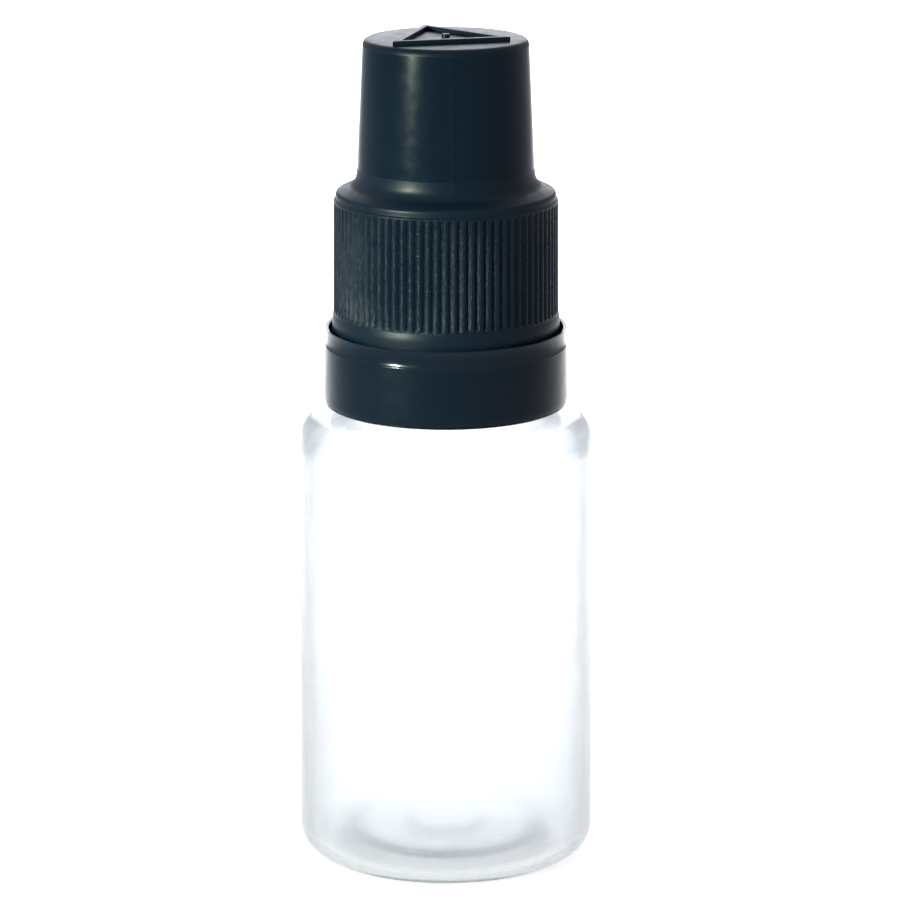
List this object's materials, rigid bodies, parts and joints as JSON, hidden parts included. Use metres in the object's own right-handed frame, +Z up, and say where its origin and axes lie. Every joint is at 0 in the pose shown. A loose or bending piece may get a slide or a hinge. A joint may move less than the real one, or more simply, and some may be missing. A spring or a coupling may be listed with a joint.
{
  "type": "dropper bottle",
  "caption": "Small clear dropper bottle with a tall push-and-turn cap, a tamper band on its neck and a press-in dropper tip.",
  "frame": {"origin": "centre of the base, on the surface the bottle stands on", "axes": "+Z up along the bottle's axis; +X to the right and -Y towards the viewer of the shown side"},
  "size_m": [0.022, 0.022, 0.0617],
  "materials": {
    "clear_bottle": "clear, nearly colourless blown plastic, smooth, with a faint haze",
    "natural_tip": "soft natural polyethylene, satin",
    "inner_black": "black moulded polypropylene, satin",
    "natural_spring": "natural acetal, satin",
    "cap_black": "black moulded plastic with a blue cast, glossy crown and ribbed grip skirt",
    "band_black": "black moulded plastic, glossy lip over a satin lower wall"
  },
  "bodies": {
    "bottle": {"bottle": "clear_bottle", "dropper_tip": "natural_tip"},
    "band": {"tamper_band": "band_black"},
    "inner": {"inner_cap": "inner_black", "breakaway_bridge_1": "inner_black", "breakaway_bridge_2": "inner_black", "breakaway_bridge_3": "inner_black", "breakaway_bridge_4": "inner_black", "breakaway_bridge_5": "inner_black", "breakaway_bridge_6": "inner_black", "breakaway_bridge_7": "inner_black", "breakaway_bridge_8": "inner_black"},
    "spring": {"spring_ring": "natural_spring"},
    "outer": {"outer_cap": "cap_black"}
  },
  "joints": [
    {"name": "cap_turn", "type": "hinge", "parent": "bottle", "child": "band", "pos_m": [0, 0, 0.0343], "axis": [0, 0, 1], "range_deg": [0, 540]},
    {"name": "cap_rise", "type": "slide", "parent": "band", "child": "inner", "axis": [0, 0, 1], "range_m": [0, 0.0045]},
    {"name": "cap_push", "type": "slide", "parent": "inner", "child": "spring", "axis": [0, 0, 1], "range_m": [-0.00085, 0], "stiffness_N_per_m": 1500, "springref_m": 0.0003, "deforming": ["spring_ring"]},
    {"name": "outer_cap_spin", "type": "hinge", "parent": "spring", "child": "outer", "pos_m": [0, 0, 0.0394], "axis": [0, 0, 1], "continuous": true}
  ],
  "couplings": [
    {"joint": "cap_turn", "follows": "cap_rise", "rad_per_m": 2094.4}
  ]
}
